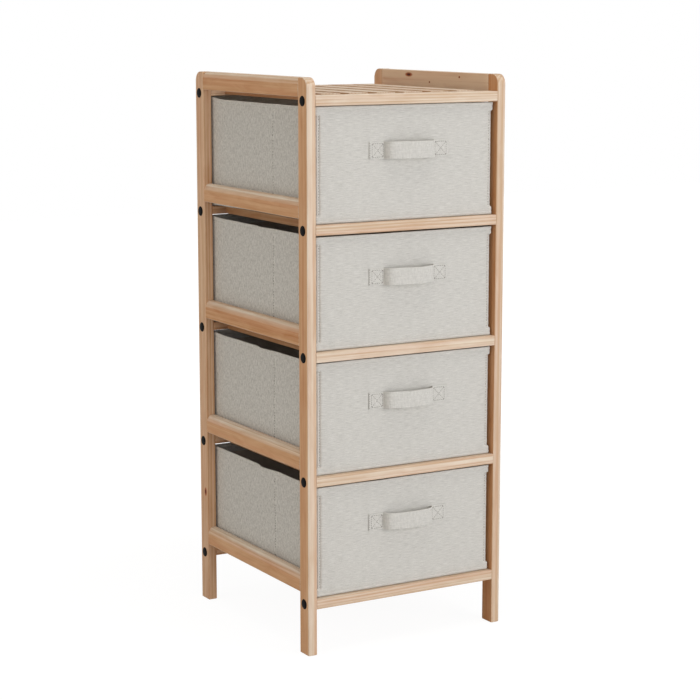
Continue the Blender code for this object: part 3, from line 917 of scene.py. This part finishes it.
def sew_shell(low, high, thickness, inset, rim_drop, seed, slump, dips):
    """Carries the bin's outline along a shell's profile, then adds the push and the sag. Gives
    the skinned grid, and for each corner how far it lies on a side, 1 on the sides, which the
    cloth reads as looser cloth with painted crease shade."""
    middle, half = (low + high) / 2, (high - low) / 2
    height = 2 * half[2]
    wall = profile(height, thickness, inset, rim_drop)
    outer, outward, arc, far = outline(half[0], half[1], CORNER_RADIUS, 0.0)
    flat = [outline(half[0], half[1], CORNER_RADIUS, row_inset)[0] for row_inset in wall[:, 0]]
    share = wall[:, 2, None, None]
    push = sewing_push(outer, far, wall[:, 1], height, half, seed)[..., None]
    level = np.stack(flat) * share + outward * push * share ** 6
    steep = np.clip((wall[:, 1] - height + RIM_REACH) / RIM_REACH, 0, 1) ** 1.5
    rise = wall[:, 1, None] - steep[:, None] * rim_sag(outer, half, slump, dips)[None]
    near_base = np.clip(1 - wall[:, 1, None] / LIFT_HEIGHT, 0, 1)
    rise = rise + side_lift(level, half) * near_base
    points = np.concatenate([level, rise[..., None]], axis=2)
    points += np.array([middle[0], middle[1], low[2]])
    length = lengths_along(wall[:, :2])
    places = np.stack(np.broadcast_arrays(arc[None, :], length[:, None]), axis=2).copy()
    on_base = wall[:, 2] < 1
    places[on_base, :-1] = level[on_base]
    places[on_base, -1] = level[on_base, 0]
    slack_and_shade = np.append(np.tile(outward[:, 0] ** 2, len(wall)), [0, 0])
    return skin_grid(points, places), slack_and_shade


print("sewing ready")

# %% [markdown]
# Stitches are real thread here, because sewn lines show on the cloth. A stitch is a little lens
# of thread, and all of them are copies of one lens, turned and moved by arrays of places and
# directions. Polyester thread is smooth; its colour is darker than the cloth's, partly its own
# grey and partly painted shade of the dimple it lies in.


# %% Lay stitches
STITCH = 0.0026
STITCH_GAP = 0.0006
THREAD = 0.0008
SIDE_THREAD = 0.0015


def along_lines(lines):
    """Spaces stitches evenly along straight lines, each given by its two ends."""
    middles, ways = [], []
    for start, end in np.array(lines, float):
        way = end - start
        length = np.linalg.norm(way)
        count = max(int(length / (STITCH + STITCH_GAP)), 1)
        share = (np.arange(count) + 0.5) / count
        middles.append(start + share[:, None] * way)
        ways.append(np.repeat((way / length)[None], count, axis=0))
    return np.concatenate(middles), np.concatenate(ways)


def lay_stitches(middles, ways, outward, thread=THREAD):
    """Copies one lens, an ellipsoid of 6 by 6 faces, to every stitch's place and direction."""
    ring = np.linspace(0, 2 * np.pi, 6, endpoint=False)
    rows = np.linspace(0, np.pi, 7)[1:-1, None]
    lens = np.stack(np.broadcast_arrays(
        np.cos(rows) * STITCH / 2, np.sin(rows) * np.cos(ring) * thread / 2,
        np.sin(rows) * np.sin(ring) * thread / 2), axis=2)
    places = np.zeros((len(rows), len(ring) + 1, 2))
    across = np.cross(outward, ways)
    shells = []
    for middle, way, side, out in zip(middles, ways, across, outward):
        shells.append(skin_grid(middle + lens @ np.stack([way, side, out]), places))
    return shells


# Its dark grey is partly the thread's own colour and partly painted shade of the dimple it lies
# in.
thread_grey, tree = new_material("grey_polyester_thread")
place = add_node(tree, "TexCoord")
twist = noise(tree, place.outputs["Object"], (2500.0,) * 3, 1.0)
add_surface(tree, blend(tree, twist, "#6a645d", "#8b857e"), {"Roughness": 0.6, "IOR": 1.5})
print("thread:", thread_grey.name)

# %% Sew the four bins
SEAM_GAP = 0.0016
BIN_RIMS = {
    1: (0.0004, (-0.0043, -0.0009)), 2: (0.0012, (-0.0022, 0.0009)),
    3: (0.0021, (-0.0015, 0.0004)), 4: (0.0034, (0.0006, 0.0010)),
}


def seam_stitches(low, high, seed):
    """Lays thread along a bin's sewn lines: beside each front edge, and down both sides. Each
    stitch sits where the push has put the cloth."""
    middle, half = (low + high) / 2, (high - low) / 2
    height = 2 * half[2]
    rise = np.arange(SEAM_STOP + 0.002, height - SEAM_STOP, STITCH + SEAM_GAP)
    shells = []
    for x, y, far, way in (
            (-half[0] + SEAM_INSET, -half[1], SEAM_FAR, (0, -1)),
            (half[0] - SEAM_INSET, -half[1], SEAM_FAR, (0, -1)),
            (-half[0], SIDE_STITCHES_Y, 0.1, (-1, 0)),
            (half[0], SIDE_STITCHES_Y, 0.1, (1, 0))):
        push = sewing_push(np.array([(x, y)]), np.array([far]), rise, height, half, seed)[:, 0]
        level = middle[:2] + np.array([x, y]) + push[:, None] * way
        middles = np.column_stack([level, low[2] + rise])
        outward = np.tile([*way, 0.0], (len(rise), 1))
        ways = np.tile([0.0, 0.0, 1.0], (len(rise), 1))
        thread = SIDE_THREAD if way[0] else THREAD
        shells += lay_stitches(middles, ways, outward, thread)
    return shells


for number, (slump, dips) in BIN_RIMS.items():
    body = f"drawer_{number}"
    low, high = (np.array(corner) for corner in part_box(f"{body}_bin"))
    cover, slack_and_shade = sew_shell(low, high, COVER, 0.0, 0.0, number, slump, dips)
    piece = make_piece(
        f"{body}_cover", [cover], cover_cloth, body, [f"{body}_bin"])
    mark(piece, "slack_and_shade", slack_and_shade)
    felt, _ = sew_shell(
        low, high, WALL - COVER - LINING_GAP, COVER + LINING_GAP, FOLD, number, slump, dips)
    lining = make_piece(f"{body}_lining", [felt], lining_felt, body, [f"{body}_bin"])
    make_piece(
        f"{body}_seam_stitches", seam_stitches(low, high, number), thread_grey, body)
    print(piece.name, len(piece.data.polygons), lining.name, len(lining.data.polygons))

# %% [markdown]
# ## Strap handles
#
# A handle is a folded strap, sewn flat at both ends and standing off in a low loop between. The
# loop rises steeply at its left end and bows gently to the right one, so its path runs through a
# few measured points, with each bend softened. A rounded strip is carried along that path.

# %% Measures of a handle
STRAP_WIDTH = 0.026
STRAP_THICKNESS = 0.002
STRAP_END = 0.07025
PAD_OUT = 0.0007
PAD_THINNING = 0.55
BEND_REACH = 24
LOOP_LINE = np.array([
    (-44.0, 0.0), (-41.6, 6.0), (-38.5, 10.0), (-33.0, 12.2), (-20.0, 14.4), (-4.0, 16.0),
    (14.0, 16.8), (26.0, 15.8), (35.0, 12.0), (40.5, 7.0), (43.5, 0.0)]) / 1000


def strap_path(steps=170):
    """Gives the strap's middle line as (along, out): pad, loop, pad, evenly spaced, with each
    bend softened by averaging its neighbours."""
    line = np.concatenate([[(-STRAP_END, 0.0)], LOOP_LINE, [(STRAP_END, 0.0)]]) + (0.0, PAD_OUT)
    length = lengths_along(line)
    even = np.linspace(0, length[-1], 1200)
    fine = np.stack([np.interp(even, length, line[:, side]) for side in (0, 1)], axis=1)
    window = np.hanning(2 * BEND_REACH + 1)
    window /= window.sum()
    padded = np.concatenate([
        2 * fine[:1] - fine[BEND_REACH:0:-1], fine,
        2 * fine[-1:] - fine[-2:-2 - BEND_REACH:-1]])
    soft = np.stack([np.convolve(padded[:, side], window, "valid") for side in (0, 1)], axis=1)
    chosen = np.linspace(0, len(soft) - 1, steps).round().astype(int)
    return soft[chosen], even[chosen]


def strap_section(columns=44):
    """Gives the strap's cut as (across, out): a flat strip with round folded edges, and a
    shallow groove where each folded edge ends."""
    turn = np.linspace(0, 2 * np.pi, columns, endpoint=False)
    across = STRAP_WIDTH / 2 * np.sign(np.cos(turn)) * np.abs(np.cos(turn)) ** 0.42
    out = STRAP_THICKNESS / 2 * np.sign(np.sin(turn)) * np.abs(np.sin(turn)) ** 0.42
    fold = 1 - 0.16 * bump_at(np.abs(across), 0.0068, 0.0012)
    return np.stack([across, out * fold], axis=1)


def make_strap(centre, seed):
    """Carries the section along the path: each row is the path's point plus its outward
    direction times the section's thickness, and the strap's width runs upright."""
    path, length = strap_path()
    section = strap_section()
    tangent = np.gradient(path, axis=0)
    tangent /= np.linalg.norm(tangent, axis=1)[:, None]
    normal = np.stack([-tangent[:, 1], tangent[:, 0]], axis=1)
    sway = 0.0003 * soft_noise(length, seed, 4, 0.04, 0.1)
    lifted = np.clip((path[:, 1] - PAD_OUT) / 0.002, 0, 1)
    thin = (1 - PAD_THINNING * (1 - lifted))[:, None, None]
    flat = path[:, None] + normal[:, None] * section[None, :, 1, None] * thin
    upright = section[None, :, 0] + sway[:, None]
    points = np.stack([
        centre[0] + flat[..., 0], centre[1] - flat[..., 1], centre[2] + upright], axis=2)
    around = lengths_along(np.concatenate([section, section[:1]]))
    places = np.stack(np.broadcast_arrays(length[:, None], around[None]), axis=2)
    return skin_grid(points, places)


print("strap length in m:", round(float(strap_path()[1][-1]), 4))

# %% [markdown]
# The strap's ends are held by a box of stitches with a cross in it, and the left end by one
# more line.

# %% Sew on the four handles
BOXES = ((-0.0652, -0.0460), (0.0456, 0.0655))
BOX_HALF = 0.010
END_LINE = -0.0690
END_HALF = 0.0125
THREAD_SINK = 0.00005

lines = []
for left, right in BOXES:
    corners = [(left, -BOX_HALF), (right, -BOX_HALF), (right, BOX_HALF), (left, BOX_HALF)]
    lines += [(corners[side], corners[(side + 1) % 4]) for side in range(4)]
    lines += [(corners[0], corners[2]), (corners[1], corners[3])]
lines.append(((END_LINE, -END_HALF), (END_LINE, END_HALF)))
flat_middles, flat_ways = along_lines(lines)
face = -(PAD_OUT + STRAP_THICKNESS / 2 * (1 - PAD_THINNING)) + THREAD_SINK
offsets = np.stack([
    flat_middles[:, 0], np.full(len(flat_middles), face), flat_middles[:, 1]], axis=1)
ways = np.stack([flat_ways[:, 0], 0 * flat_ways[:, 0], flat_ways[:, 1]], axis=1)
outward = np.repeat([[0.0, -1.0, 0.0]], len(ways), axis=0)

for number in BIN_RIMS:
    body = f"drawer_{number}"
    bin_low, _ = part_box(f"{body}_bin")
    low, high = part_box(f"{body}_handle")
    centre = np.array([(low.x + high.x) / 2, bin_low.y, (low.z + high.z) / 2])
    strap = make_piece(
        f"{body}_strap", [make_strap(centre, 20 + number)], strap_cloth, body,
        [f"{body}_handle"])
    stitches = make_piece(
        f"{body}_stitches", lay_stitches(centre + offsets, ways, outward), thread_grey, body)
    print(strap.name, len(strap.data.polygons), stitches.name, len(ways), "stitches")
